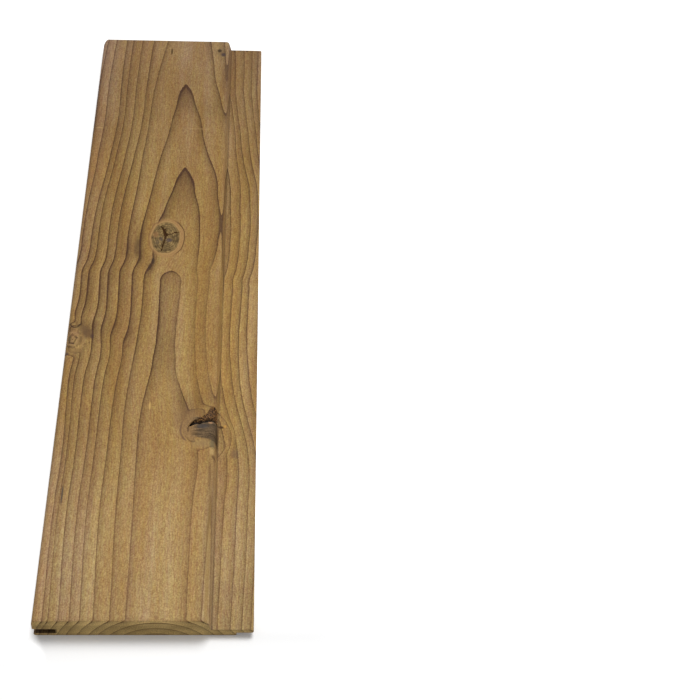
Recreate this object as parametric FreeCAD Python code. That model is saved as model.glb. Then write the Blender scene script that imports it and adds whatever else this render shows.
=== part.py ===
import FreeCAD, Part
import math
import os

# A softwood cladding board, planed to a tongue and groove section and laid face up.
# X runs across the board with the groove at the low end and the tongue at the high end.
# Y runs along the grain, Z is up. The origin is under the middle of the board, on its flat back.
# All sizes are in millimetres and degrees.

# Stock
LENGTH = 610.0
THICKNESS = 16.0
COVER_WIDTH = 129.0

# Groove, cut into the low edge
LOWER_LIP = 2.3
GROOVE_HEIGHT = 4.5
LIP_SETBACK = 0.6

# Tongue, left standing on the high edge
TONGUE_LENGTH = 11.0
FIT_CLEARANCE = 0.5
TIP_CLEARANCE = 3.5

# Open channel that shows between the raised face and the next board
CHANNEL_WIDTH = 16.0
WALL_LEAN = 14.0

# Rounded and eased edges
GROOVE_SIDE_RADIUS = 3.5
CHANNEL_SIDE_RADIUS = 4.0
CHANNEL_ROOT_RADIUS = 0.6
LIP_EASE = 0.4
GROOVE_ROOT_RADIUS = 0.5
TONGUE_TIP_RADIUS = 1.2
TONGUE_ROOT_RADIUS = 0.4
LIP_BACK_RADIUS = 1.5
SHOULDER_BACK_RADIUS = 0.8
END_EASE = 1.5

# A rounded corner may use up to this share of the shorter side beside it.
SIDE_SHARE = 0.48


def rounded_outline(corners):
    """A closed wire in the XZ plane through (x, z, radius) corners, with a tangent arc at each radius."""
    points = [FreeCAD.Vector(x, 0, z) for x, z, radius in corners]
    edges = []
    starts = []
    ends = []
    for index, (x, z, radius) in enumerate(corners):
        here = points[index]
        back = points[index - 1] - here
        ahead = points[(index + 1) % len(points)] - here
        half_angle = back.getAngle(ahead) / 2
        reach = radius / math.tan(half_angle)
        reach = min(reach, SIDE_SHARE * min(back.Length, ahead.Length))
        start = here + back.normalize() * reach
        end = here + ahead.normalize() * reach
        if reach > 0:
            to_middle = (back + ahead).normalize()
            fitted = reach * math.tan(half_angle)
            middle = here + to_middle * (fitted / math.sin(half_angle) - fitted)
            edges.append(Part.Arc(start, middle, end).toShape())
        starts.append(start)
        ends.append(end)
    for index, end in enumerate(ends):
        following = starts[(index + 1) % len(starts)]
        edges.append(Part.LineSegment(end, following).toShape())
    return Part.Wire(Part.__sortEdges__(edges))


def board_section():
    """The planed section, drawn once round from the underside of the lower lip."""
    overall_width = COVER_WIDTH + TONGUE_LENGTH
    groove_face = -overall_width / 2
    joint = groove_face + COVER_WIDTH
    tongue_tip = joint + TONGUE_LENGTH
    lip_face = groove_face + LIP_SETBACK
    groove_root = groove_face + TONGUE_LENGTH + TIP_CLEARANCE
    groove_top = LOWER_LIP + GROOVE_HEIGHT
    tongue_bottom = LOWER_LIP + FIT_CLEARANCE
    tongue_top = groove_top - FIT_CLEARANCE
    wall_foot = joint - CHANNEL_WIDTH
    wall_head = wall_foot - (THICKNESS - tongue_top) * math.tan(math.radians(WALL_LEAN))
    return rounded_outline([
        (lip_face, 0, LIP_BACK_RADIUS),
        (lip_face, LOWER_LIP, LIP_EASE),
        (groove_root, LOWER_LIP, GROOVE_ROOT_RADIUS),
        (groove_root, groove_top, GROOVE_ROOT_RADIUS),
        (groove_face, groove_top, LIP_EASE),
        (groove_face, THICKNESS, GROOVE_SIDE_RADIUS),
        (wall_head, THICKNESS, CHANNEL_SIDE_RADIUS),
        (wall_foot, tongue_top, CHANNEL_ROOT_RADIUS),
        (tongue_tip, tongue_top, TONGUE_TIP_RADIUS),
        (tongue_tip, tongue_bottom, TONGUE_TIP_RADIUS),
        (joint, tongue_bottom, TONGUE_ROOT_RADIUS),
        (joint, 0, SHOULDER_BACK_RADIUS),
    ])


def eased_ends(width):
    """A block as long as the board, whose two upper end edges are eased across its whole width."""
    half = LENGTH / 2
    side_view = rounded_outline([
        (-half, 0, 0),
        (half, 0, 0),
        (half, THICKNESS, END_EASE),
        (-half, THICKNESS, END_EASE),
    ])
    block = Part.Face(side_view).extrude(FreeCAD.Vector(0, width, 0))
    block.translate(FreeCAD.Vector(0, -width / 2, 0))
    block.rotate(FreeCAD.Vector(0, 0, 0), FreeCAD.Vector(0, 0, 1), 90)
    return block


def tongue_and_groove_board():
    """The section planed along the whole length, then its two ends eased at the raised face."""
    planed = Part.Face(board_section()).extrude(FreeCAD.Vector(0, LENGTH, 0))
    planed.translate(FreeCAD.Vector(0, -LENGTH / 2, 0))
    return planed.common(eased_ends(2 * (COVER_WIDTH + TONGUE_LENGTH)))


os.makedirs("parts", exist_ok=True)
board = tongue_and_groove_board()
board.exportStep("parts/tongue_and_groove_board.step")
box = board.BoundBox
print("solids", len(board.Solids), "valid", board.isValid(), "volume", round(board.Volume, 1))
print("box", [round(v, 3) for v in (box.XMin, box.YMin, box.ZMin, box.XMax, box.YMax, box.ZMax)])
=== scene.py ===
# %% [markdown]
# # One tongue and groove board
# The object is a short length of softwood wall cladding. It was sawn from one piece of timber and planed to
# a section with a groove along one edge, a tongue along the other and an open channel beside the raised
# face. There is only one piece, so nearly all of its looks are in its wood: growth rings that follow the
# tree, knots, fibres, and end grain that agrees with the face. This lesson loads the measured model, makes
# a dense mesh of the same section, works out where each point of it lay in the tree, and paints it from
# that.

# %% Load the frame
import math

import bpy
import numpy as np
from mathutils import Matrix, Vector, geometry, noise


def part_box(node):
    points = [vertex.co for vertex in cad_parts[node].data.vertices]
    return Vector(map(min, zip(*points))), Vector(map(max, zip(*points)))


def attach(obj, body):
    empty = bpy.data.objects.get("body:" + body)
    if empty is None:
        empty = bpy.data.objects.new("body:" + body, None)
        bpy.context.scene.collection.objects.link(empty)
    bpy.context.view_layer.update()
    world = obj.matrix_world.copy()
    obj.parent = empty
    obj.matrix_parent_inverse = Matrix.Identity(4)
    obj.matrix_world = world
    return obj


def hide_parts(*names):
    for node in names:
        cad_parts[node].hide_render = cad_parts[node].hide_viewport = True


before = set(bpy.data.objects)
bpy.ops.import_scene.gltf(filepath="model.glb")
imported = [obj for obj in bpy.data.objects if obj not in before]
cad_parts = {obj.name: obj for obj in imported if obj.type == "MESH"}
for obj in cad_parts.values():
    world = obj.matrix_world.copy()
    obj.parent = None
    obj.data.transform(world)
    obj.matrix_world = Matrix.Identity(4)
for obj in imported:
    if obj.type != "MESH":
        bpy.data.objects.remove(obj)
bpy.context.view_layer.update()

# %% [markdown]
# ## Measures
# Blender works in metres, but a board is easier to think about in millimetres. In this lesson a point of
# the board is given as `across` from the groove's face, `along` from the near end and `up` from the flat
# back. It is turned into Blender's metres only when a mesh is made. The overall sizes come from the loaded
# model.

MM = 0.001
NODE = "tongue_and_groove_board"
board_low, board_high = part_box(NODE)
WIDTH, LENGTH, THICKNESS = [(high - low) / MM for low, high in zip(board_low, board_high)]
print("board in mm: %.1f wide, %.1f long, %.1f thick" % (WIDTH, LENGTH, THICKNESS))


def to_frame(across, along, up):
    """Board millimetres to an array of points in the frame's metres."""
    across, along, up = np.broadcast_arrays(across, along, up)
    return np.stack([across - WIDTH / 2, along - LENGTH / 2, up], axis=-1) * MM


# %% [markdown]
# ## Knots
# A knot is the foot of a branch. The branch starts at the pith, the middle of the tree, so inside the board
# a knot is a cone that narrows towards the back. The board has a round knot on its face, a loose one that
# the channel's wall has cut through, and a small one at the groove's edge. They are listed first, because
# the mesh has to be finer around them and the growth rings have to bend round them.

# %% Where the knots are
# the middle of each knot, across and along
KNOTS = {"round": (68.0, 352.4), "loose": (106.0, 155.5), "edge": (3.5, 243.5)}


def near(position, centre, reach):
    """1 at a centre, falling smoothly to 0 a little past the reach."""
    return np.exp(-((position - centre) / reach) ** 4)


def smooth_step(value, start, end):
    """0 at the start, 1 at the end, smooth in between."""
    share = np.clip((value - start) / (end - start), 0, 1)
    return share * share * (3 - 2 * share)


def graded_step(position, axis, reach, plain, fine):
    """A mesh step that is fine near the knots and plain elsewhere."""
    closeness = sum(near(position, middle[axis], reach) for middle in KNOTS.values())
    return plain + (fine - plain) * np.clip(closeness, 0, 1)


print(len(KNOTS), "knots")

# %% [markdown]
# ## The section
# The planed section is a list of corners, each with the radius that eases it. The straight runs between
# them are divided more finely where the wood is seen closely. A bevel modifier could round the corners of a
# sharp profile, but one list gives each edge its own radius and every point its own outward direction.

# %% Sizes of the section
COVER_WIDTH = 129.0
LOWER_LIP = 2.3
GROOVE_TOP = 6.8
GROOVE_DEPTH = 14.5
LIP_SETBACK = 0.6
CHANNEL_WIDTH = 16.0
CHANNEL_FLOOR = 6.3
TONGUE_BOTTOM = 2.8
WALL_LEAN = math.radians(14.0)
END_EASE = 1.5
FACE_STEP = 1.4
KNOT_STEP = 0.7
KNOT_REACH_ACROSS = 14.0
EDGE_STEP = 0.55
SPREAD_SAMPLES = 4001


def spread(start, end, step_at):
    """Positions from start to end, spaced by the step that step_at gives for each place."""
    fine = np.linspace(start, end, SPREAD_SAMPLES)
    density = 1 / step_at(fine)
    steps = (density[1:] + density[:-1]) / 2 * np.abs(np.diff(fine))
    count = np.concatenate([[0], np.cumsum(steps)])
    pieces = max(1, round(count[-1]))
    return np.interp(np.linspace(0, count[-1], pieces + 1), count, fine)


def face_step(across):
    return graded_step(across, 0, KNOT_REACH_ACROSS, FACE_STEP, KNOT_STEP)


def even(step):
    return lambda position: np.full_like(position, step)


print("cover width %.1f mm, of which the channel takes %.1f" % (COVER_WIDTH, CHANNEL_WIDTH))

# %% List the section's corners
wall_foot = COVER_WIDTH - CHANNEL_WIDTH
wall_head = wall_foot - (THICKNESS - CHANNEL_FLOOR) * math.tan(WALL_LEAN)
SECTION = [
    # across, up, radius, step of the run that follows
    (LIP_SETBACK, 0.0, 1.5, even(EDGE_STEP)),
    (LIP_SETBACK, LOWER_LIP, 0.4, even(2.4)),
    (GROOVE_DEPTH, LOWER_LIP, 0.5, even(1.2)),
    (GROOVE_DEPTH, GROOVE_TOP, 0.5, even(2.4)),
    (0.0, GROOVE_TOP, 0.4, even(1.2)),
    (0.0, THICKNESS, 3.5, face_step),
    (wall_head, THICKNESS, 4.0, even(0.8)),
    (wall_foot, CHANNEL_FLOOR, 0.6, even(1.2)),
    (WIDTH, CHANNEL_FLOOR, 1.2, even(EDGE_STEP)),
    (WIDTH, TONGUE_BOTTOM, 1.2, even(2.0)),
    (COVER_WIDTH, TONGUE_BOTTOM, 0.4, even(1.0)),
    (COVER_WIDTH, 0.0, 0.8, even(5.0)),
]
print(len(SECTION), "corners")

# %% Round the corners and divide the runs


def rounded_section(corners):
    """Points round the section, and the outward direction at each of them."""
    places = np.array([corner[:2] for corner in corners])
    arcs = []
    for index, (across, up, radius, step) in enumerate(corners):
        here = places[index]
        back = places[index - 1] - here
        ahead = places[(index + 1) % len(places)] - here
        back = back / np.linalg.norm(back)
        ahead = ahead / np.linalg.norm(ahead)
        half_angle = math.acos(np.dot(back, ahead)) / 2
        middle = here + (back + ahead) / np.linalg.norm(back + ahead) * radius / math.sin(half_angle)
        start = here + back * radius / math.tan(half_angle) - middle
        end = here + ahead * radius / math.tan(half_angle) - middle
        turn = math.atan2(start[0] * end[1] - start[1] * end[0], np.dot(start, end))
        count = max(3, math.ceil(abs(turn) * radius / EDGE_STEP))
        angles = math.atan2(start[1], start[0]) + np.linspace(0, turn, count + 1)
        spokes = np.stack([np.cos(angles), np.sin(angles)], axis=1)
        outward = spokes if turn < 0 else -spokes
        arcs.append((middle + spokes * radius, outward))
    points = []
    directions = []
    for index, (arc, outward) in enumerate(arcs):
        following = arcs[(index + 1) % len(arcs)][0][0]
        run = following - arc[-1]
        reach = np.linalg.norm(run)
        axis = 0 if abs(run[0]) > abs(run[1]) else 1
        ticks = spread(arc[-1][axis], following[axis], corners[index][3])[1:-1]
        inner = arc[-1] + run * ((ticks - arc[-1][axis]) / run[axis])[:, None]
        points += [arc, inner]
        directions += [outward, np.tile([-run[1] / reach, run[0] / reach], (len(inner), 1))]
    return np.concatenate(points), np.concatenate(directions)


section, section_outward = rounded_section(SECTION)
print("section of", len(section), "points")

# %% [markdown]
# ## Growth rings
# Every ring is a thin shell round the pith. The pith lies well below this board, so inside the board each
# shell is a shallow arch. On the end the arches show as flat arcs and along the face as lines, and where an
# arch sinks below the face its two lines meet in a point. So the figure on all sides comes from one
# question: how far is this point from the pith? A wood texture painted on the face alone could look much
# the same from above, but its end grain would not agree.
#
# The lines are written down as they were read off the face, as small circles: one with its middle a little
# below the face crosses the face at the same two places as a larger ring round the deep pith. The small
# circle is easy to measure, and the large ring then gives the right slope below the face.

# %% The middle of the figure
PITH_DEPTH = 40.0
# along, depth of the small circles' middle below the face, and its place across
FIGURE = np.array([
    (0, 18.6, 78.0),
    (50, 18.5, 78.0),
    (100, 17.7, 78.2),
    (135, 16.5, 78.8),
    (172, 20.4, 75.8),
    (200, 24.3, 73.1),
    (225, 25.5, 72.6),
    (252, 25.9, 72.8),
    (280, 25.8, 73.2),
    (300, 25.7, 73.3),
    (308, 25.8, 73.3),
    (315.5, 26.9, 73.3),
    (325, 28.4, 75.4),
    (335, 29.1, 76.6),
    (352, 29.6, 77.2),
    (400, 31.3, 78.6),
    (438, 34.2, 78.8),
    (450, 35.6, 78.2),
    (500, 39.2, 77.4),
    (520, 40.35, 76.4),
    (535, 41.0, 75.8),
    (548, 41.85, 75.4),
    (575, 42.8, 75.6),
    (610, 44.1, 76.0),
])


def smooth_through(stations, values):
    """A smooth curve through a few given values."""
    slopes = np.gradient(values, stations)

    def at(place):
        index = np.clip(np.searchsorted(stations, place) - 1, 0, len(stations) - 2)
        width = stations[index + 1] - stations[index]
        share = np.clip((place - stations[index]) / width, 0, 1)
        start = values[index] + share * width * slopes[index]
        end = values[index + 1] - (1 - share) * width * slopes[index + 1]
        ease = smooth_step(share, 0, 1)
        return start * (1 - ease) + end * ease

    return at


figure_depth = smooth_through(FIGURE[:, 0], FIGURE[:, 1])
figure_middle = smooth_through(FIGURE[:, 0], FIGURE[:, 2])
print("figure's middle %.1f mm across at the near end" % figure_middle(np.array([0.0]))[0])

# %% The rings' ends
# along, then the small circle's radius at which each of ten rings ends, counted outwards
RING_ENDS = np.array([
    (0, 26.9, 34.4, 43.6, 51.4, 57.5, 64.2, 70.2, 73.5, 81.7, 87.7),
    (120, 26.9, 36.0, 45.2, 53.2, 58.8, 65.6, 71.3, 74.3, 82.5, 88.5),
    (200, 26.9, 34.9, 41.6, 49.6, 55.0, 62.2, 68.5, 72.0, 80.0, 86.5),
    (300, 26.9, 33.0, 39.0, 46.8, 54.2, 59.5, 67.9, 72.5, 78.5, 85.5),
    (352, 26.9, 33.9, 41.8, 49.6, 56.6, 62.3, 69.4, 74.2, 80.5, 87.0),
    (400, 26.9, 33.4, 41.0, 49.3, 56.9, 62.7, 69.6, 73.6, 80.9, 87.5),
    (450, 26.9, 34.4, 41.1, 50.0, 55.1, 60.9, 67.1, 71.0, 79.7, 86.5),
    (610, 26.9, 34.4, 42.6, 48.3, 54.3, 60.6, 66.5, 70.8, 78.3, 84.5),
])
# rings that meet the face nowhere, or only past the board's edge: how many, and how wide
INNER_RINGS = (6, 6.2)
OUTER_RINGS = (3, 4.5)


def ring_ends(along):
    """The distance from the pith at which each ring ends, outwards, at each place along the board."""
    ends = []
    for radii in RING_ENDS.T[1:]:
        beside_squared = smooth_through(RING_ENDS[:, 0], radii)(along) ** 2 - figure_depth(along) ** 2
        ends.append(np.sqrt(PITH_DEPTH ** 2 + beside_squared))
    inner = [ends[0] - INNER_RINGS[1] * count for count in range(INNER_RINGS[0], 0, -1)]
    outer = [ends[-1] + OUTER_RINGS[1] * count for count in range(1, OUTER_RINGS[0] + 1)]
    return inner + ends + outer


near_end_rings = ring_ends(np.array([0.0]))
print(len(near_end_rings), "rings, out to %.1f mm from the pith at the near end" % near_end_rings[-1][0])

# %% How the rings bend
# Over a knot the branch has drawn the rings outwards: middle, reach, softness of the edge, height in mm.
SWELLINGS = [
    ((106.0, 159.5), (17.5, 19.5), 0.16, 5.4),
    (KNOTS["round"], (21.0, 24.0), 0.4, 1.0),
    ((0.5, 242.5), (12.5, 16.0), 0.25, 7.4),
    ((111.0, 430.0), (8.0, 120.0), 0.7, 1.3),
]
# the dip and the crest that the edge knot left in the lines beside it: height, place along, reach along
DIP = (1.6, 226.0, 12.0)
CREST = (2.2, 238.0, 13.0)
# the dip weakens over this distance across, and the crest runs slantwise from this place across
DIP_FADE = 30.0
CREST_ACROSS, CREST_SLANT = 45.0, 0.75
# where, across, the crest and then the whole bend start to fade and are gone
CREST_ENDS = (38.0, 52.0)
BEND_ENDS = (50.0, 60.0)
# every line wavers a little besides: how much, and over what lengths
WAVER, WAVER_SIZE = 0.2, (20, 60, 20)


def wander(across, along, up, size, seed):
    """Slow natural unevenness between -1 and 1, with a given size in mm along each direction."""
    points = np.stack([across / size[0] + seed, along / size[1], up / size[2]], axis=-1)
    return np.array([noise.noise(point) for point in points.tolist()])


def beside_pith(across, along, up):
    """How far each point lay to the side of the pith, after the wood bent round the edge knot."""
    dip = DIP[0] * np.exp(-((along - DIP[1]) / DIP[2]) ** 2 - np.clip(across, 0, None) / DIP_FADE)
    crest_along = CREST[1] + CREST_SLANT * (CREST_ACROSS - across)
    crest = CREST[0] * np.exp(-((along - crest_along) / CREST[2]) ** 2)
    crest = crest * (1 - smooth_step(across, *CREST_ENDS))
    bend = (dip - crest) * (1 - smooth_step(across, *BEND_ENDS))
    return across - figure_middle(along) - bend + WAVER * wander(across, along, up, WAVER_SIZE, 3.0)


def swelling(across, along, middle, reach, softness, height):
    distance = np.hypot((across - middle[0]) / reach[0], (along - middle[1]) / reach[1])
    return height * (1 - smooth_step(distance, 1 - softness, 1 + softness))


print(len(SWELLINGS), "places where the rings swell")

# %% Count the rings
# the far arches come to a point: how wide, and where along the board this begins and is complete
POINT_WIDTH = 12.0
POINTED_FROM, POINTED_TO = 370.0, 410.0
NARROWEST_RING = 2.0


def growth_rings(across, along, up, side):
    """The rings counted outwards, as a number that grows through each, and each ring's width on the skin."""
    sideways = np.abs(side)
    pointed = POINT_WIDTH * smooth_step(along, POINTED_FROM, POINTED_TO) * (np.hypot(sideways, 1.0) - 1.0)
    beside_squared = np.cbrt(sideways ** 6 + pointed ** 3)
    radius = np.sqrt(beside_squared + (PITH_DEPTH + up - THICKNESS) ** 2)
    on_face = radius / np.hypot(side, POINT_WIDTH)
    for shape in SWELLINGS:
        radius = radius - swelling(across, along, *shape)
    ends = ring_ends(along)
    count = np.zeros_like(radius)
    width = np.zeros_like(radius)
    for inner, outer in zip(ends, ends[1:]):
        share = np.clip((radius - inner) / (outer - inner), 0, 1)
        count += share
        width += (outer - inner) * ((share > 0) & (share < 1))
    from_end = np.minimum(along, LENGTH - along)
    stretch = 1 + (on_face - 1) * smooth_step(from_end, 0, 2 * END_EASE)
    return count, np.maximum(width, NARROWEST_RING) * stretch


# %% [markdown]
# ## The board's mesh
# The section is repeated at stations along the length, closer together at the knots and at the eased ends.
# The two ends are closed with a net of triangles, so that the end grain has points of its own. The mesh is
# one closed skin, as dense as its finest feature needs, and it replaces the plain model in the picture.

# %% Stations along the board
PLAIN_STATION = 2.6
KNOT_STATION = 0.8
KNOT_REACH_ALONG = 24.0
EASE_STATIONS = 6


def station_step(along):
    return graded_step(along, 1, KNOT_REACH_ALONG, PLAIN_STATION, KNOT_STATION)


ease_turns = np.linspace(0, math.pi / 2, EASE_STATIONS)
near_end = END_EASE * (1 - np.cos(ease_turns))
middle_stations = spread(END_EASE, LENGTH - END_EASE, station_step)
stations = np.concatenate([near_end[:-1], middle_stations, (LENGTH - near_end[:-1])[::-1]])
print(len(stations), "stations along the board")

# %% Repeat the section along the board
across_grid = np.repeat(section[None, :, 0], len(stations), axis=0)
up_grid = np.repeat(section[None, :, 1], len(stations), axis=0)
along_grid = np.repeat(stations[:, None], len(section), axis=1)
into_ease = np.clip(END_EASE - np.minimum(along_grid, LENGTH - along_grid), 0, END_EASE)
eased_away = END_EASE - np.sqrt(END_EASE ** 2 - into_ease ** 2)
up_grid = np.minimum(up_grid, THICKNESS - eased_away)
rows, columns = across_grid.shape
print(rows, "rows of", columns, "points")

# %% Close the two ends
END_STEP = 1.25
CLEAR_SHARE = 0.35


def end_net(outline):
    """Points inside an outline and the triangles over it. Outline points come first and keep their order."""
    across, up = np.meshgrid(np.arange(0, WIDTH, END_STEP), np.arange(0, THICKNESS, END_STEP))
    spots = np.stack([across.ravel(), up.ravel()], axis=1)
    following = np.roll(outline, -1, axis=0)
    run = following - outline
    above = spots[:, None, 1] < outline[None, :, 1]
    above_next = spots[:, None, 1] < following[None, :, 1]
    with np.errstate(divide="ignore", invalid="ignore"):
        crossing = outline[:, 0] + (spots[:, None, 1] - outline[:, 1]) * (run[:, 0] / run[:, 1])
    inside = ((above != above_next) & (spots[:, None, 0] < crossing)).sum(axis=1) % 2 == 1
    from_start = spots[:, None] - outline[None]
    share = np.clip((from_start * run).sum(axis=2) / (run ** 2).sum(axis=1), 0, 1)
    gaps = np.linalg.norm(from_start - share[..., None] * run, axis=2)
    inner = spots[inside & (gaps.min(axis=1) > CLEAR_SHARE * END_STEP)]
    points = np.concatenate([outline, inner])
    border = list(range(len(outline)))
    found = geometry.delaunay_2d_cdt([Vector(point) for point in points], [], [border], 1, 1e-6)
    source = [owners[0] for owners in found[3]]
    triangles = [[source[corner] for corner in face] for face in found[2]]
    return inner, triangles


near_inner, near_triangles = end_net(np.stack([across_grid[0], up_grid[0]], axis=1))
far_inner, far_triangles = end_net(np.stack([across_grid[-1], up_grid[-1]], axis=1))
print("end nets of", len(near_triangles), "and", len(far_triangles), "triangles")

# %% All points in one list
across = np.concatenate([across_grid.ravel(), near_inner[:, 0], far_inner[:, 0]])
up = np.concatenate([up_grid.ravel(), near_inner[:, 1], far_inner[:, 1]])
along = np.concatenate([along_grid.ravel(), np.zeros(len(near_inner)), np.full(len(far_inner), LENGTH)])
print(len(across), "points")

# %% [markdown]
# ## Checks, the hole and a worn corner
# The round knot has dried out into a three-armed check, bark has fallen out beside the loose knot and left
# a ragged hole that is open to the channel, and one far corner is worn round. They are real hollows, so
# they are pressed into the mesh. A painted dark patch would look flat as soon as the board is turned.

# %% Where the wood is hollow
# start and end (across, along), and half the width at both, of each arm of the check
CHECK_ARMS = [
    ((67.1, 356.3), (65.0, 362.9), 1.7, 1.0),
    ((65.0, 362.9), (62.7, 366.9), 1.0, 0.5),
    ((65.2, 362.6), (67.5, 363.6), 0.8, 0.6),
    ((67.1, 356.3), (71.3, 357.3), 1.1, 0.7),
    ((71.3, 357.3), (74.5, 359.8), 0.7, 0.7),
    ((74.2, 359.6), (76.7, 359.1), 1.2, 0.6),
    ((67.1, 356.3), (66.4, 351.5), 1.0, 0.6),
    ((66.4, 351.5), (64.2, 337.5), 0.62, 0.5),
]
HOLE_SHELF = 8.0
HOLE_TIP = 89.0
RAGGED, RAGGED_SIZE = 0.9, (2.2, 2.2, 2.2)
hole_near_edge = smooth_through(np.array([HOLE_TIP, 94.0, 100.7, 107.0, 113.5]),
                                np.array([154.4, 160.4, 163.0, 164.9, 166.3]))
hole_far_edge = smooth_through(np.array([HOLE_TIP, 93.3, 95.7, 100.7, 105.1, 108.2, 113.5]),
                               np.array([155.0, 162.2, 165.9, 169.2, 173.6, 178.6, 180.0]))


def along_line(across, along, start, end):
    """Distance from a line, and how far along it, from 0 to 1."""
    run = np.subtract(end, start)
    share = ((across - start[0]) * run[0] + (along - start[1]) * run[1]) / np.dot(run, run)
    share = np.clip(share, 0, 1)
    return np.hypot(across - start[0] - share * run[0], along - start[1] - share * run[1]), share


check = np.zeros_like(across)
for start, end, start_half, end_half in CHECK_ARMS:
    distance, share = along_line(across, along, start, end)
    check = np.maximum(check, near(distance, 0, start_half + share * (end_half - start_half)))
ragged = RAGGED * wander(across, along, up, RAGGED_SIZE, 5.0)
inside_hole = np.minimum(along - hole_near_edge(across), hole_far_edge(across) - along) + ragged
hole = smooth_step(inside_hole, -0.3, 1.3) * smooth_step(across, HOLE_TIP, HOLE_TIP + 2)
hole_share = np.clip((along - hole_near_edge(across)) / HOLE_SHELF, 0, 1)
no_slope = np.zeros(len(near_inner) + len(far_inner))
outward_up = np.concatenate([np.tile(section_outward[:, 1], rows), no_slope])
open_skin = (outward_up > 0.1) * smooth_step(up, CHANNEL_FLOOR + 0.5, CHANNEL_FLOOR + 2.5)
check = check * open_skin
hole = hole * open_skin
print((check > 0.5).sum(), "points in the check,", (hole > 0.5).sum(), "in the hole")

# %% Press the hollows into the points
CHECK_DEPTH = 1.8
HOLE_DEPTH = 5.5
# the hole leads down and a little away from the channel
HOLE_LEAN = (0.35, 0.94)
CRUMB_SIZE = (1.8, 1.8, 1.8)
WORN_ACROSS = 3.2
WORN_ALONG = 7.0
crumbled = 0.8 + 0.35 * wander(across, along, up, CRUMB_SIZE, 8.0)
hole_floor = HOLE_DEPTH * hole * crumbled * (1 - 0.6 * smooth_step(hole_share, 0.25, 0.7))
to_far_end = np.clip((along - LENGTH + WORN_ALONG) / WORN_ALONG, 0, 1)
worn_away = WORN_ACROSS * (1 - np.sqrt(1 - to_far_end ** 2))
worn_away = worn_away * np.clip(1 - across / (2.5 * WORN_ACROSS), 0, 1)
worn_away = worn_away * smooth_step(up, GROOVE_TOP + 0.5, GROOVE_TOP + 3.0)
pressed_across = across - HOLE_LEAN[0] * hole_floor + worn_away
pressed_up = up - HOLE_LEAN[1] * hole_floor - CHECK_DEPTH * check
print("hole pressed %.1f mm deep, check %.1f mm" % (hole_floor.max(), CHECK_DEPTH * check.max()))

# %% All faces in one list
row, column = np.meshgrid(np.arange(rows - 1), np.arange(columns), indexing="ij")
following = (column + 1) % columns
skin = np.stack([row * columns + column, row * columns + following,
                 (row + 1) * columns + following, (row + 1) * columns + column], axis=-1).reshape(-1, 4)
first_near = rows * columns
first_far = first_near + len(near_inner)


def end_faces(triangles, border_start, inner_start):
    """Triangles of an end net, with each corner's number in the list of all points."""
    shifts = np.array([border_start, inner_start - columns])
    corners = np.array(triangles)
    return (corners + shifts[(corners >= columns).astype(int)]).tolist()


faces = skin.tolist()
faces += end_faces(near_triangles, 0, first_near)
faces += [face[::-1] for face in end_faces(far_triangles, (rows - 1) * columns, first_far)]
mesh = bpy.data.meshes.new("tongue_and_groove_board_wood")
mesh.from_pydata(to_frame(pressed_across, along, pressed_up).tolist(), [], faces)
mesh.validate()
mesh.shade_smooth()
board = bpy.data.objects.new("board_in_wood", mesh)
bpy.context.collection.objects.link(board)
triangle_count = sum(len(face.vertices) - 2 for face in mesh.polygons)
print("board mesh:", len(mesh.vertices), "points,", triangle_count, "triangles")

# %% [markdown]
# ## What the mesh remembers
# A material can only paint what it knows. So each point keeps the measures that were worked out for it: its
# ring, its place beside the pith, how hollow it is, and where the tree was under strain beside a branch and
# laid down more dark wood. An image texture would need unwrapping and would be soft close up.

# %% Where the wood grew under strain
# across, along, reach across, reach along, amount
STRAINED = [
    (48, 331, 5, 14, 1.0), (37, 338, 7, 20, 0.8), (57, 321, 6, 12, 1.0), (66, 377, 6, 9, 0.7),
    (16, 254, 9, 14, 0.9), (30, 258, 12, 18, 0.6), (45, 248, 8, 14, 0.5), (90, 166, 8, 14, 0.7),
    (47, 352, 4, 22, 1.0), (75.6, 533, 11, 24, 0.75), (78.8, 424, 10, 20, 0.75),
    (14, 296, 9, 42, 0.75), (27, 302, 10, 44, 0.8), (39, 302, 8, 40, 0.75),
]
strain = np.zeros_like(across)
for middle_across, middle_along, reach_across, reach_along, amount in STRAINED:
    squared = ((across - middle_across) / reach_across) ** 2 + ((along - middle_along) / reach_along) ** 2
    strain = np.maximum(strain, amount * np.exp(-squared))
print(len(STRAINED), "strained places")

# %% Keep the wood's own measures on the mesh


def keep(name, kind, values):
    """Stores one value or vector per point, for the material to read."""
    layer = mesh.attributes.new(name, kind, "POINT")
    layer.data.foreach_set("value" if kind == "FLOAT" else "vector", values.astype(np.float32).ravel())


side = beside_pith(across, along, up)
ring_count, ring_width = growth_rings(across, along, up, side)
for name, values in (("ring", ring_count), ("ring_width", ring_width), ("stress", strain),
                     ("check", check), ("hole", hole), ("hole_share", hole_share)):
    keep(name, "FLOAT", values)
keep("fibre", "FLOAT_VECTOR", np.stack([side, along, up], axis=1))
keep("place", "FLOAT_VECTOR", np.stack([across, along, up], axis=1))
print("rings %.1f to %.1f kept on the mesh" % (ring_count.min(), ring_count.max()))

# %% [markdown]
# ## Node helpers
# A procedural material is a graph of small steps. These helpers add one step each and hand back its result,
# so that the finish below reads like a recipe. Colours are written as they look on a screen, from 0 to 255.

# %% Small helpers for material nodes


def tint(red, green, blue):
    """A screen colour, 0 to 255, as the linear colour that a shader takes."""
    parts = [value / 255 for value in (red, green, blue)]
    return (*[((part + 0.055) / 1.055) ** 2.4 if part > 0.04045 else part / 12.92 for part in parts], 1.0)


def by(red, green, blue):
    """Factors to multiply a colour by."""
    return (red, green, blue, 1.0)


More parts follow.
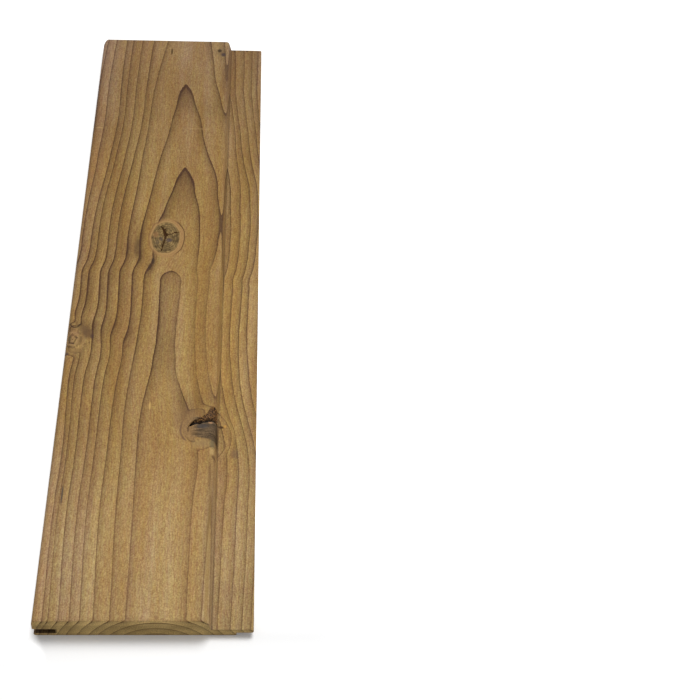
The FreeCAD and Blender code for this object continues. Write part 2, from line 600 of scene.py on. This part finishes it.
class Recipe:
    """Adds nodes to a material or the world. An input is a value, or another node's result, to be linked."""

    def __init__(self, owner):
        owner.use_nodes = True
        self.owner = owner
        self.tree = owner.node_tree
        self.tree.nodes.clear()

    def add(self, kind, inputs, **settings):
        made = self.tree.nodes.new("ShaderNode" + kind)
        for key, value in settings.items():
            setattr(made, key, value)
        for key, value in inputs.items():
            if isinstance(value, bpy.types.NodeSocket):
                self.tree.links.new(value, made.inputs[key])
            else:
                made.inputs[key].default_value = value
        return made

    def maths(self, operation, *values):
        return self.add("Math", dict(enumerate(values)), operation=operation).outputs[0]

    def times(self, first, *others):
        """Several numbers multiplied."""
        for other in others:
            first = self.maths("MULTIPLY", first, other)
        return first

    def scaled(self, vector, factors):
        return self.add("VectorMath", {0: vector, 1: factors}, operation="MULTIPLY").outputs[0]

    def grain(self, vector, factors, detail=2.0, roughness=0.5):
        """Noise from 0 to 1, with its own scale per mm along each direction."""
        stretched = self.scaled(vector, factors)
        inputs = {"Vector": stretched, "Scale": 1.0, "Detail": detail, "Roughness": roughness}
        return self.add("TexNoise", inputs).outputs["Fac"]

    def ramp(self, value, stops, smooth=True):
        """A curve through stops, each a place from 0 to 1 with a number or a colour."""
        made = self.add("ValToRGB", {"Fac": value})
        made.color_ramp.interpolation = "EASE" if smooth else "LINEAR"
        for index, (place, level) in enumerate(stops):
            knobs = made.color_ramp.elements
            knob = knobs[index] if index < 2 else knobs.new(place)
            knob.position = place
            knob.color = level if isinstance(level, tuple) else by(level, level, level)
        return made.outputs["Color"]

    def between(self, value, low, high):
        """0 below low, 1 above high, smooth in between."""
        inputs = {"Value": value, "From Min": low, "From Max": high}
        return self.add("MapRange", inputs, interpolation_type="SMOOTHSTEP").outputs[0]

    def range(self, value, low, high, start=0.0, end=1.0):
        """A number that runs from start to end, stretched to run from low to high."""
        inputs = {"Value": value, "From Min": start, "From Max": end, "To Min": low, "To Max": high}
        return self.add("MapRange", inputs).outputs[0]

    def mix(self, share, first, second, blend="MIX"):
        inputs = {"Factor": share, 6: first, 7: second}
        return self.add("Mix", inputs, data_type="RGBA", blend_type=blend).outputs[2]

    def toned(self, colour, factors):
        """A colour times another."""
        return self.mix(1.0, colour, factors, "MULTIPLY")

    def shaded(self, colour, level):
        """A colour times a number near 1."""
        return self.toned(colour, self.add("CombineColor", {0: level, 1: level, 2: level}).outputs[0])

    def report(self, what):
        print(what + ":", len(self.tree.nodes), "nodes so far")


# %% [markdown]
# ## The wood
# Softwood lays down pale, soft wood in spring and a thin dark band at the end of summer, and then stops
# short. So one ring is a slow darkening and a sharp edge. Where the tree had to hold up a branch, the dark
# part is wider. The ring's number wanders a little along the fibres, because no real line is drawn with a
# ruler.

# %% Read the measures
wood = Recipe(bpy.data.materials.new("planed_softwood"))


def stored(name, result="Fac"):
    return wood.add("Attribute", {}, attribute_name=name).outputs[result]


fibres = stored("fibre", "Vector")
place = stored("place", "Vector")
stress = stored("stress")
at_across, at_along, at_up = wood.add("SeparateXYZ", {0: place}).outputs
wood.report("measures")

# %% Spring wood and summer wood
LONGEST_FADE = 6.0
LATEWOOD = [(0.0, 1.0), (1.0, 0.0), (0.075, 1.0), (0.12, 0.66), (0.22, 0.45), (0.42, 0.29), (0.7, 0.13)]
jitter = wood.range(wood.grain(fibres, (0.2, 0.012, 0.2)), -0.02, 0.02)
jitter = wood.maths("ADD", jitter, wood.range(wood.grain(fibres, (2.2, 0.09, 2.2)), -0.012, 0.012))
season = wood.maths("FRACT", wood.maths("ADD", stored("ring"), jitter))
to_ring_end = wood.times(wood.maths("SUBTRACT", 1.0, season), stored("ring_width"))
fade = wood.times(wood.maths("DIVIDE", to_ring_end, LONGEST_FADE), wood.range(stress, 1.0, 0.3))
band = wood.ramp(fade, LATEWOOD)
# lines are fainter near both ends, in the channel and in a calm part of the face's tongue side
calm = wood.times(wood.between(at_across, 72.0, 84.0), wood.between(at_across, 115.0, 111.0),
                  wood.between(at_along, 180.0, 215.0), wood.between(at_along, 350.0, 310.0))
strength = wood.times(wood.range(wood.grain(fibres, (0.06, 0.007, 0.06)), 0.55, 1.15),
                      wood.range(at_along, 0.72, 1.1, 60.0, 260.0),
                      wood.range(at_along, 1.0, 0.82, 420.0, 520.0),
                      wood.range(at_across, 1.0, 0.94, wall_foot - 3, wall_foot),
                      wood.range(stress, 1.0, 1.3),
                      wood.range(calm, 1.0, 0.5))
dark_band = wood.times(band, strength)
wood.report("rings")

# %% [markdown]
# ## Tones and fibres
# The board is golden at its near end and browner further on; part of this is painted light, brightest at the
# near end and darker along the middle. A paler, greyer strip along the groove's edge is a painted sheen. A
# tone that changes slowly gives these, and finer noise, stretched along the fibres, gives streaks and flecks.
# Three patterns darken green and blue more than red, as real wood does, and two more only shift the hue. One
# grey noise would be simpler, but then the board would look dusty.

# %% Slow changes of tone
# painted light and tone: the near end is painted brighter and the middle darker, together with the wood's own
# shift of hue
TONES = [(0.08, by(1.03, 1.07, 1.2)), (0.3, by(0.79, 0.758, 0.68)), (0.68, by(0.79, 0.76, 0.69)),
         (0.82, by(0.825, 0.8, 0.82)), (1.0, by(0.925, 0.915, 1.09))]
SPRING = [(0.3, tint(163, 127, 77)), (0.7, tint(177, 146, 97))]
SUMMER = [(0.08, tint(88, 56, 39)), (0.3, tint(77, 53, 34)),
          (0.75, tint(77, 53, 35)), (1.0, tint(80, 55, 39))]
HUES = [(0.35, by(1.0, 1.0, 0.91)), (0.65, by(1.0, 1.0, 1.09))]
EDGE_SHEEN = [(0.25, by(1.04, 1.03, 1.1)), (0.6, by(1.1, 1.1, 1.28))]
tone = wood.grain(fibres, (0.06, 0.006, 0.06), detail=3.0)
share_along = wood.maths("DIVIDE", at_along, LENGTH)
share_along = wood.maths("ADD", share_along, wood.range(tone, -0.06, 0.06))
spring_colour = wood.toned(wood.ramp(tone, SPRING), wood.ramp(share_along, TONES))
colour = wood.mix(dark_band, spring_colour, wood.ramp(share_along, SUMMER))
colour = wood.toned(colour, wood.ramp(wood.grain(fibres, (0.1, 0.005, 0.1)), HUES))
# painted sheen: the groove's edge, up to 16 mm in, is painted paler and bluer, as a reflection of white
# surroundings
edge_sheen_colour = wood.toned(colour, wood.ramp(share_along, EDGE_SHEEN))
colour = wood.mix(wood.between(at_across, 16.0, 1.0), colour, edge_sheen_colour)
wood.report("with slow tones")

# %% Fibres and flecks
RED_SHARE, GREEN_SHARE = 0.8, 1.08
REDS = [(0.3, by(0.965, 1.022, 1.0)), (0.7, by(1.035, 0.978, 1.0))]
BLUES = [(0.3, by(1.0, 1.0, 0.88)), (0.7, by(1.0, 1.0, 1.12))]
streaks = wood.grain(fibres, (0.75, 0.025, 0.75), detail=3.0, roughness=0.6)
flecks = wood.grain(fibres, (1.0, 0.15, 1.0), roughness=0.6)
speckle = wood.grain(place, (1.15, 0.85, 1.15), roughness=0.7)


def contrasted(contrast):
    """A dark and a pale stop, each a contrast away from plain."""
    steps = (-contrast, contrast)
    dark, pale = [by(1 + RED_SHARE * step, 1 + GREEN_SHARE * step, 1 + step) for step in steps]
    return [(0.3, dark), (0.7, pale)]


for pattern, stops in ((streaks, contrasted(0.11)), (flecks, contrasted(0.18)), (speckle, contrasted(0.33)),
                       (wood.grain(fibres, (0.9, 0.12, 0.9), roughness=0.6), REDS),
                       (wood.grain(fibres, (1.05, 0.1, 1.05), roughness=0.6), BLUES)):
    colour = wood.toned(colour, wood.ramp(pattern, stops, smooth=False))
wood.report("with fibres and flecks")

# %% [markdown]
# ## Patches
# Planed wood has soft lighter and darker places where the fibres dive or rise. Each is a spot with a level.
# A spot is described by its distance: 0 in the middle and 1 on its rim, with some noise so that it is no
# oval.

# %% Distances from spots
cone = wood.range(wood.maths("DIVIDE", at_up, THICKNESS), 1.5, 1.0)
unevenness = wood.grain(place, (0.14, 0.11, 0.14), detail=3.0)


def from_spot(middle, half, wobble=0.15):
    """0 in the middle of a spot on the face and 1 on its rim. Deeper in the board the spot is smaller."""
    moved = wood.add("VectorMath", {0: place, 1: (*middle, 0)}, operation="SUBTRACT").outputs[0]
    shrunk = wood.scaled(moved, (1 / half[0], 1 / half[1], 0))
    plain = wood.add("VectorMath", {0: shrunk}, operation="LENGTH").outputs["Value"]
    return wood.maths("ADD", wood.times(plain, cone), wood.range(unevenness, -wobble, wobble))


def inside(distance, edge, softness):
    return wood.between(distance, edge + softness, edge - softness)


def line(distance, at, width):
    """1 on one distance, falling to 0 at a width to either side."""
    off = wood.maths("ABSOLUTE", wood.maths("SUBTRACT", distance, at))
    return wood.between(off, width, 0.0)


# %% Soft patches of tone
# middle (across, along), half size and level
PATCHES = [
    ((25, 595), (60, 40), 1.1),
    ((80, 552), (12, 16), 0.93),
    ((6, 510), (10, 40), 1.1),
    ((98, 512), (14, 24), 0.86),
    ((54, 512), (6, 20), 0.93),
    ((12, 432), (18, 44), 1.14),
    ((102, 430), (7, 24), 1.1),
    ((76, 394), (16, 22), 0.86),
    ((46, 392), (16, 16), 1.1),
    ((30, 312), (6, 16), 0.86),
    ((26, 302), (26, 56), 1.15),
    ((76, 272), (8, 36), 1.1),
    ((14, 250), (20, 16), 0.92),
    ((112, 212), (18, 14), 1.08),
    ((94, 181), (20, 14), 0.84),
    ((18, 184), (12, 16), 1.09),
]
for middle, half, level in PATCHES:
    patch = inside(from_spot(middle, half), 0.6, 0.6)
    colour = wood.shaded(colour, wood.range(patch, 1.0, level))
print(len(PATCHES), "soft patches")

# %% [markdown]
# ## The round knot
# A sound knot is a small tree of its own, cut across: a grey core with fine rings, a paler collar where its
# wood joins the board's, and a dark rim. Bands of one distance make all three, and a sine of it makes the
# rings.

# %% Paint the round knot
COLLAR_HALF = (14.2, 22.1)
CORE_MIDDLE, CORE_HALF = (67.1, 352.5), (11.2, 18.2)
CORE_TONES = [(0.34, tint(78, 62, 37)), (0.5, tint(110, 90, 56)), (0.66, tint(142, 117, 74))]


def rings_in(distance, count, bend):
    """Fine rings from -1 to 1, bent a little by the wood's unevenness."""
    bent = wood.range(unevenness, -bend, bend)
    return wood.maths("SINE", wood.maths("MULTIPLY_ADD", distance, count, bent))


distance = from_spot(KNOTS["round"], COLLAR_HALF, wobble=0.06)
collar_colour = wood.mix(0.6, colour, tint(162, 124, 80))
collar_colour = wood.shaded(collar_colour, wood.range(rings_in(distance, 70.0, 4.0), 0.94, 1.06, -1.0, 1.0))
colour = wood.mix(inside(distance, 1.0, 0.05), colour, collar_colour)
from_middle = wood.maths("ABSOLUTE", wood.maths("SUBTRACT", at_along, 353.0))
rim = wood.times(line(distance, 0.98, 0.06), wood.range(at_across, 0.35, 0.85, 58.0, 76.0),
                 wood.between(from_middle, 22, 15))
colour = wood.mix(rim, colour, tint(82, 56, 32))
distance = from_spot(CORE_MIDDLE, CORE_HALF, wobble=0.09)
core_colour = wood.ramp(wood.grain(place, (0.4, 0.3, 0.4), detail=3.0), CORE_TONES)
core_colour = wood.shaded(core_colour, wood.range(rings_in(distance, 50.0, 3.0), 0.72, 1.25, -1.0, 1.0))
colour = wood.mix(wood.times(0.95, inside(distance, 0.98, 0.08)), colour, core_colour)
colour = wood.mix(wood.times(0.5, line(distance, 1.02, 0.06)), colour, tint(176, 142, 90))
wood.report("with the round knot")

# %% [markdown]
# ## The loose knot
# The channel's cutter has sliced this knot open lengthwise, so its grey core shows stripes and not rings.
# It darkens towards the wall. Round it lie a brownish halo and a thin crescent where the bark was.

# %% Paint the loose knot
halo = from_spot((91.5, 167.5), (13.0, 17.0))
colour = wood.mix(wood.times(0.5, inside(halo, 0.7, 0.5)), colour, tint(116, 87, 63))
below_core = from_spot((102.5, 145.5), (9.0, 6.0))
colour = wood.mix(wood.times(0.38, inside(below_core, 0.7, 0.5)), colour, tint(146, 128, 90))
crescent = from_spot((98.0, 158.6), (11.0, 13.4), 0.1)
crescent_line = wood.times(line(crescent, 1.0, 0.11), 0.7, wood.between(at_across, 93.5, 89.5),
                           wood.between(at_along, 168.0, 160.0))
colour = wood.mix(crescent_line, colour, tint(92, 66, 56))
behind_crescent = wood.times(0.75, inside(crescent, 0.86, 0.08), wood.between(at_across, 100.0, 96.0))
crescent_fill = wood.shaded(tint(143, 112, 73), wood.range(speckle, 0.7, 1.3, 0.3, 0.7))
colour = wood.mix(behind_crescent, colour, crescent_fill)
slant = wood.maths("MULTIPLY_ADD", wood.maths("SUBTRACT", at_across, 97.0), 0.25, at_along)
slant = wood.maths("ADD", slant, wood.range(unevenness, -1.2, 1.2))
core = wood.times(wood.between(slant, 150.2, 152.2), wood.between(at_along, 170.0, 168.0),
                  wood.between(at_across, 92.5, 100.0), wood.between(at_up, 7.0, 9.0))
stripes = wood.grain(place, (0.11, 1.2, 0.11), detail=3.0)
core_colour = wood.ramp(stripes, [(0.36, tint(54, 42, 29)), (0.64, tint(119, 96, 69))])
core_colour = wood.shaded(core_colour, wood.range(at_across, 1.1, 0.6, 97.0, 111.0))
core_colour = wood.mix(wood.times(0.25, wood.between(at_along, 154.0, 161.0)), core_colour, tint(76, 68, 58))
core_colour = wood.shaded(core_colour, wood.range(speckle, 0.55, 1.45, 0.3, 0.7))
colour = wood.mix(wood.times(0.95, core), colour, core_colour)
wood.report("with the loose knot")

# %% [markdown]
# ## The edge knot
# This one is hardly more than a twig: a mottled place with a small, broken eye, and a dark cup where the
# lines that come from the far end turn away from it.

# %% Paint the edge knot
broken = wood.grain(place, (0.62, 0.42, 0.62), detail=3.0)
mottled_zone = inside(from_spot((7.0, 239.5), (11.0, 13.0)), 0.8, 0.3)
mottled = wood.shaded(colour, wood.range(broken, 0.76, 1.24, 0.32, 0.68))
colour = wood.mix(mottled_zone, colour, mottled)
distance = from_spot((4.6, 242.8), (4.2, 6.4), wobble=0.3)
distance = wood.maths("ADD", distance, wood.range(broken, -0.4, 0.4))
growth = wood.maths("SINE", wood.maths("MULTIPLY_ADD", distance, 9.5, -math.pi / 2))
growth = wood.range(growth, 0.0, 1.0, -1.0, 1.0)
eye_colour = wood.ramp(growth, [(0.1, tint(76, 57, 37)), (0.8, tint(158, 126, 86))])
eye = wood.times(0.9, inside(distance, 1.35, 0.45), wood.range(broken, 0.35, 1.0, 0.62, 0.4))
colour = wood.mix(eye, colour, eye_colour)
cup = from_spot((5.6, 260.3), (4.0, 5.4), wobble=0.2)
cup_line = wood.times(0.9, line(cup, 1.0, 0.2), wood.between(at_along, 260.5, 258.0))
colour = wood.mix(cup_line, colour, tint(62, 46, 32))
wood.report("with the edge knot")

# %% [markdown]
# ## Small marks
# Pin knots, ticks, chips and stains make this board one of a kind. Each is a soft spot of one colour, so a
# list and a loop are enough.

# %% Paint the small marks
# middle (across, along), half size, amount and colour of each mark
MARKS = [
    # pin knots and ticks at the far end
    ((105.0, 593.0), (6.0, 9.0), 0.4, tint(116, 96, 66)),
    ((103.0, 595.8), (2.4, 3.0), 0.9, tint(62, 46, 30)),
    ((106.6, 590.0), (2.6, 3.2), 0.85, tint(72, 60, 62)),
    ((61.0, 593.5), (1.1, 5.5), 0.9, tint(84, 64, 38)),
    ((115.5, 609.0), (1.4, 1.6), 0.8, tint(60, 44, 30)),
    ((121.5, 609.4), (1.8, 1.4), 0.7, tint(72, 54, 38)),
    ((127.0, 609.0), (1.6, 1.6), 0.8, tint(60, 44, 30)),
    ((5.8, 486.0), (3.6, 0.8), 0.7, tint(196, 160, 108)),
    ((88.0, 486.5), (15.0, 0.8), 0.3, tint(196, 160, 108)),
    # pale and dark streaks towards the near end, and painted shade on the channel's shoulder there
    ((64.5, 179.0), (0.9, 5.0), 0.65, tint(206, 168, 100)),
    ((10.4, 100.0), (0.8, 10.0), 0.9, tint(84, 72, 62)),
    ((109.5, 50.0), (2.2, 70.0), 0.6, tint(140, 112, 62)),
    # stains in and beside the round knot
    ((45.8, 341.0), (3.2, 13.0), 0.6, tint(72, 50, 37)),
    ((58.8, 326.0), (1.6, 4.0), 0.75, tint(58, 45, 32)),
    ((56.6, 320.0), (1.6, 4.5), 0.65, tint(62, 47, 33)),
    ((69.8, 349.8), (3.2, 3.0), 0.75, tint(68, 58, 62)),
    ((63.8, 351.0), (2.0, 3.0), 0.65, tint(62, 54, 56)),
    ((59.3, 356.0), (3.0, 4.4), 0.5, tint(152, 110, 70)),
    ((61.0, 347.5), (2.2, 3.6), 0.5, tint(80, 68, 56)),
    # chips and dirt round the loose knot, and a line of painted shade along the wall beside it
    ((107.8, 163.8), (1.9, 1.1), 0.85, tint(168, 128, 92)),
    ((102.5, 160.5), (5.0, 2.6), 0.5, tint(72, 68, 68)),
    ((92.3, 157.6), (0.8, 3.2), 0.8, tint(84, 60, 40)),
    ((109.6, 144.5), (2.6, 5.5), 0.5, tint(108, 100, 74)),
    ((109.4, 138.0), (2.0, 4.0), 0.55, tint(186, 156, 104)),
    ((110.8, 133.6), (1.8, 2.4), 0.7, tint(88, 62, 38)),
    ((112.4, 153.0), (1.3, 15.0), 0.7, tint(48, 36, 24)),
    ((108.6, 118.0), (1.3, 17.0), 0.5, tint(104, 74, 46)),
    ((115.0, 167.6), (4.4, 2.0), 0.9, tint(60, 38, 18)),
    ((117.6, 168.4), (1.9, 2.4), 0.8, tint(182, 136, 66)),
    ((125.5, 143.5), (5.0, 7.0), 0.4, tint(96, 76, 62)),
    # stains and ticks round the edge knot
    ((2.6, 243.4), (1.6, 3.4), 0.7, tint(94, 80, 52)),
    ((4.0, 247.0), (1.3, 1.0), 0.7, tint(70, 52, 34)),
    ((4.4, 238.6), (3.2, 0.9), 0.6, tint(78, 58, 42)),
    ((8.0, 249.2), (1.2, 1.0), 0.5, tint(92, 66, 44)),
    ((11.2, 243.0), (1.2, 1.5), 0.55, tint(92, 66, 46)),
    ((10.2, 237.8), (1.2, 1.1), 0.6, tint(84, 60, 42)),
    ((17.2, 239.4), (0.9, 1.6), 0.55, tint(88, 64, 44)),
    ((5.6, 249.0), (4.4, 5.0), 0.35, tint(164, 124, 84)),
    ((12.0, 252.5), (5.0, 6.0), 0.5, tint(104, 80, 56)),
    ((15.4, 249.2), (5.0, 6.0), 0.65, tint(94, 68, 48)),
    ((18.6, 246.0), (1.8, 2.6), 0.7, tint(70, 50, 44)),
    ((1.9, 228.4), (1.6, 2.0), 0.8, tint(72, 56, 58)),
    ((8.2, 228.8), (1.4, 1.0), 0.7, tint(84, 62, 46)),
    ((10.8, 242.5), (2.8, 7.0), 0.6, tint(142, 112, 70)),
    ((6.6, 231.0), (8.0, 4.6), 0.45, tint(142, 113, 72)),
]
for middle, half, amount, mark_colour in MARKS:
    mark = wood.times(amount, inside(from_spot(middle, half), 0.75, 0.35))
    colour = wood.mix(mark, colour, mark_colour)
print(len(MARKS), "small marks")

# %% [markdown]
# ## Channel, hollows and groove
# The channel is darker at the board's near end and a little paler than the face in its middle. Its wall is
# painted a little darker as painted shade, and a dark line in the corner at the wall's foot is painted shade.
# The check is painted dark as the shade in its crack, and the hole holds crumbling bark, with its deepest
# part painted near black as shade. The groove is painted dark inside as painted shade.

# %% The channel's own tone
# the channel is darker at the board's near end and paler in its middle
CHANNEL_TONES = [(0.0, 0.86), (1.0, 1.0), (0.2, 1.0), (0.4, by(1.24, 1.31, 1.4)), (0.6, by(1.12, 1.17, 1.22))]
in_channel = wood.between(at_across, wall_foot - 1.5, wall_foot + 0.5)
channel_colour = wood.toned(colour, wood.ramp(share_along, CHANNEL_TONES))
colour = wood.mix(in_channel, colour, channel_colour)
# painted shade: the channel's wall is painted a little darker
on_wall = wood.times(in_channel, wood.between(at_up, CHANNEL_FLOOR + 0.4, CHANNEL_FLOOR + 1.5))
colour = wood.shaded(colour, wood.range(on_wall, 1.0, 0.92))
# painted shade: a dark line in the corner at the wall's foot
painted_foot_shade = wood.times(0.6, line(at_across, wall_foot, 1.3), line(at_up, CHANNEL_FLOOR, 1.6))
colour = wood.mix(painted_foot_shade, colour, tint(72, 52, 34))
wood.report("with the channel")

# %% The hollows
CRUMBS = [(0.4, tint(28, 18, 10)), (0.5, tint(74, 51, 30)), (0.62, tint(140, 102, 60))]
# painted shade: the check is painted dark brown, as the shade inside its crack
colour = wood.mix(wood.between(stored("check"), 0.3, 0.75), colour, tint(58, 35, 11))
crumbs_and_shade = wood.ramp(wood.grain(place, (1.0, 1.3, 1.0), detail=3.0, roughness=0.6), CRUMBS)
# painted shade: the hole's deepest part, near its near edge, is painted near black over the crumbs
crumbs_and_shade = wood.mix(wood.between(stored("hole_share"), 0.62, 0.36), crumbs_and_shade, tint(18, 12, 7))
colour = wood.mix(wood.between(stored("hole"), 0.2, 0.6), colour, crumbs_and_shade)

# %% The inside of the groove
GROOVE_LEVEL = 0.35
in_groove = wood.times(wood.between(at_across, 0.4, 2.5),
                       wood.between(at_across, GROOVE_DEPTH + 1.5, GROOVE_DEPTH + 0.5),
                       wood.between(at_up, LOWER_LIP - 0.15, LOWER_LIP),
                       wood.between(at_up, GROOVE_TOP + 0.15, GROOVE_TOP))
# painted shade: the groove's inside is painted darker, on the ends too
groove_shade = wood.range(in_groove, 1.0, GROOVE_LEVEL)
colour = wood.shaded(colour, groove_shade)
wood.report("with the hollows and the groove")

# %% [markdown]
# ## End grain
# A saw cuts the fibres off at the ends, which then look like a field of open straws: more porous and
# greener, with the same rings as arcs. The rings need no new work, because they are stored for every point.
# Only the colour changes, where the surface faces along the board. The end is also painted lighter towards
# its top and at its foot as painted light and shade, and the eased edges are painted lighter as a painted
# highlight.

# %% Paint the ends
END_TONES = [(0.3, tint(168, 140, 88)), (0.7, tint(196, 166, 108))]
# painted light and shade: the end is painted lighter towards its top and at its foot, and darker between
END_PAINTED_LIGHT = [(0.0, 1.25), (1.0, 1.6), (0.15, 1.18), (0.31, 1.05), (0.46, 0.92), (0.61, 0.92), (0.77, 1.26),
              (0.93, 1.41)]
normal = wood.add("TexCoord", {}).outputs["Normal"]
facing_end = wood.maths("ABSOLUTE", wood.add("SeparateXYZ", {0: normal}).outputs[1])
# painted highlight: where the surface turns towards the ends, on the eased edges, it is painted lighter
colour = wood.shaded(colour, wood.range(wood.between(facing_end, 0.15, 0.6), 1.0, 1.25))
line_share = wood.range(wood.between(at_up, 10.5, 14.5), 0.6, 1.0)
end_colour = wood.mix(wood.times(line_share, band), wood.ramp(tone, END_TONES), tint(60, 42, 26))
pores = wood.grain(place, (1.3, 1.3, 1.1), roughness=0.7)
end_colour = wood.shaded(end_colour, wood.range(pores, 0.62, 1.38, 0.3, 0.7))
end_colour = wood.toned(end_colour, wood.ramp(wood.maths("DIVIDE", at_up, THICKNESS), END_PAINTED_LIGHT))
end_colour = wood.shaded(end_colour, groove_shade)
colour = wood.mix(wood.between(facing_end, 0.8, 0.98), colour, end_colour)
wood.report("with the end grain")

# %% [markdown]
# ## The finished surface
# Planed, uncoated wood is matt with a very faint sheen along its streaks. The hollows are geometry already,
# so a weak bump of a few hundredths of a millimetre is left for fibres and rings.

# %% Shader
relief = wood.maths("ADD", wood.times(streaks, 0.6), wood.times(dark_band, 0.35))
relief = wood.maths("ADD", relief, wood.times(speckle, 0.5))
bump = wood.add("Bump", {"Strength": 0.25, "Distance": 0.15 * MM, "Height": relief}).outputs[0]
roughness = wood.range(streaks, 0.52, 0.72)
surface = wood.add("BsdfPrincipled", {"Base Color": colour, "Roughness": roughness, "Specular IOR Level": 0.1,
                                      "Normal": bump})
wood.add("OutputMaterial", {"Surface": surface.outputs[0]})
mesh.materials.append(wood.owner)
wood.report("finished wood")

# %% [markdown]
# ## Put it on the frame
# The board has no joint, so the mesh rides on the root and stands in for the one solid of the measured
# model.

# %% Put the wood on the frame
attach(board, "root")
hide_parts(NODE)
print(board.name, "replaces", NODE)

# %% [markdown]
# ## Floor
# The board lies on white paper. To be seen as white without putting more light on the board, the paper
# glows a little, only to the camera and in reflections. The glow is held back near the board, so that its
# shadow stays.

# %% Make the floor
FLOOR_SIZE = 6.0
FLOOR_GAP = 0.2
bpy.ops.mesh.primitive_plane_add(size=FLOOR_SIZE, location=(0, 0, -FLOOR_GAP * MM))
floor = bpy.context.object
floor.name = "floor"
paper = Recipe(bpy.data.materials.new("floor_paper"))


def looked_at(recipe):
    """1 for what the camera sees, straight or in a reflection, and 0 for what only lights the board."""
    rays = recipe.add("LightPath", {}).outputs
    shown = recipe.maths("MAXIMUM", rays["Is Camera Ray"], rays["Is Glossy Ray"])
    return recipe.maths("MAXIMUM", shown, rays["Is Transmission Ray"])


# %% Let the floor glow away from the board
# the paper is held darkest just in front of the board, where the shadow falls
WHITE = (1.0, 1.0, 1.0, 1.0)
PAPER = (0.9, 0.9, 0.9, 1.0)
spot = paper.add("TexCoord", {}).outputs["Object"]
spot_across, spot_along = paper.add("SeparateXYZ", {0: spot}).outputs[:2]
from_front = paper.maths("ADD", spot_along, LENGTH / 2 * MM)
beyond_left = paper.maths("SUBTRACT", board_low[0], spot_across)
beyond_left = paper.maths("MULTIPLY_ADD", paper.maths("MINIMUM", from_front, 0.0), -0.6, beyond_left)
oval = paper.scaled(spot, (1.6, 1.0, 1.0))
reach = paper.add("VectorMath", {0: oval}, operation="LENGTH").outputs["Value"]
behind_glow = paper.range(from_front, 0.1, 0.6, 0.0, 0.065)
front_glow = paper.range(from_front, 0.085, 0.27, 0.0, -0.03)
left_glow = paper.times(paper.range(beyond_left, 0.0, 0.75, -0.004, 0.003),
                        paper.range(from_front, 0.0, 1.0, -0.03, 0.0))
glow_level = paper.range(reach, 0.1, 0.75, 0.35, 0.75)
for nearer_glow in (behind_glow, front_glow, left_glow):
    glow_level = paper.maths("MAXIMUM", glow_level, nearer_glow)
glow_level = paper.times(looked_at(paper), glow_level)
matt = paper.add("BsdfDiffuse", {"Color": PAPER}).outputs[0]
glow = paper.add("Emission", {"Color": WHITE, "Strength": glow_level}).outputs[0]
paper.add("OutputMaterial", {"Surface": paper.add("AddShader", {0: matt, 1: glow}).outputs[0]})
floor.data.materials.append(paper.owner)
print("floor %.1f mm under the board" % FLOOR_GAP)

# %% [markdown]
# ## Light
# A white tent and one large lamp make plain studio light. The lamp hangs to the right and a little behind,
# so the board's front end is in shade and its shadow falls to the front.

# %% Hang the lamp
SKY_LEVEL = 0.3
LAMP_SIZE = 0.45
LAMP_POWER = 3.2
LAMP_SPREAD = math.radians(130)
LAMP_PLACE = Vector((0.26, 0.05, 0.76))
LAMP_AIM = Vector((0.0, -0.27, 0.0))
bpy.context.scene.world = bpy.data.worlds.new("studio")
sky = Recipe(bpy.context.scene.world)
sky_level = sky.range(looked_at(sky), SKY_LEVEL, 1.0)
white_sky = sky.add("Background", {"Color": WHITE, "Strength": sky_level}).outputs[0]
sky.add("OutputWorld", {"Surface": white_sky})
lamp_data = bpy.data.lights.new("soft_lamp", "AREA")
lamp_data.size = LAMP_SIZE
lamp_data.energy = LAMP_POWER
lamp_data.spread = LAMP_SPREAD
lamp = bpy.data.objects.new("soft_lamp", lamp_data)
lamp.location = LAMP_PLACE
lamp.rotation_euler = (LAMP_AIM - LAMP_PLACE).to_track_quat("-Z", "Y").to_euler()
bpy.context.collection.objects.link(lamp)
print("lamp %.2f m above the floor" % LAMP_PLACE.z)

# %% [markdown]
# ## Camera
# The camera looks down along the board with a slight turn and roll, as the picture was taken. Its place and
# angles were worked out from the board's straight edges, so they are written as one place and three angles.

# %% Place the camera
CAMERA_PLACE = Vector((73.9, -854.9, 862.0)) * MM
CAMERA_TILT = math.radians(47.06)
CAMERA_TURN = math.radians(4.67)
CAMERA_ROLL = math.radians(4.0)
LENS = 80.73
SENSOR_WIDTH = 36.0
camera_data = bpy.data.cameras.new("camera")
camera_data.sensor_width = SENSOR_WIDTH
camera_data.lens = LENS
camera = bpy.data.objects.new("camera", camera_data)
bpy.context.collection.objects.link(camera)
heading = Vector((math.sin(CAMERA_TURN), math.cos(CAMERA_TURN), 0))
right = Vector((math.cos(CAMERA_TURN), -math.sin(CAMERA_TURN), 0))
forward = heading * math.cos(CAMERA_TILT) - Vector((0, 0, math.sin(CAMERA_TILT)))
upright = right.cross(forward)
picture_right = right * math.cos(CAMERA_ROLL) + upright * math.sin(CAMERA_ROLL)
picture_up = upright * math.cos(CAMERA_ROLL) - right * math.sin(CAMERA_ROLL)
turning = Matrix((picture_right, picture_up, -forward)).transposed()
camera.matrix_world = Matrix.Translation(CAMERA_PLACE) @ turning.to_4x4()
bpy.context.scene.camera = camera
bpy.context.scene.view_settings.view_transform = "Standard"
print("camera %.2f m from the board's middle" % CAMERA_PLACE.length)
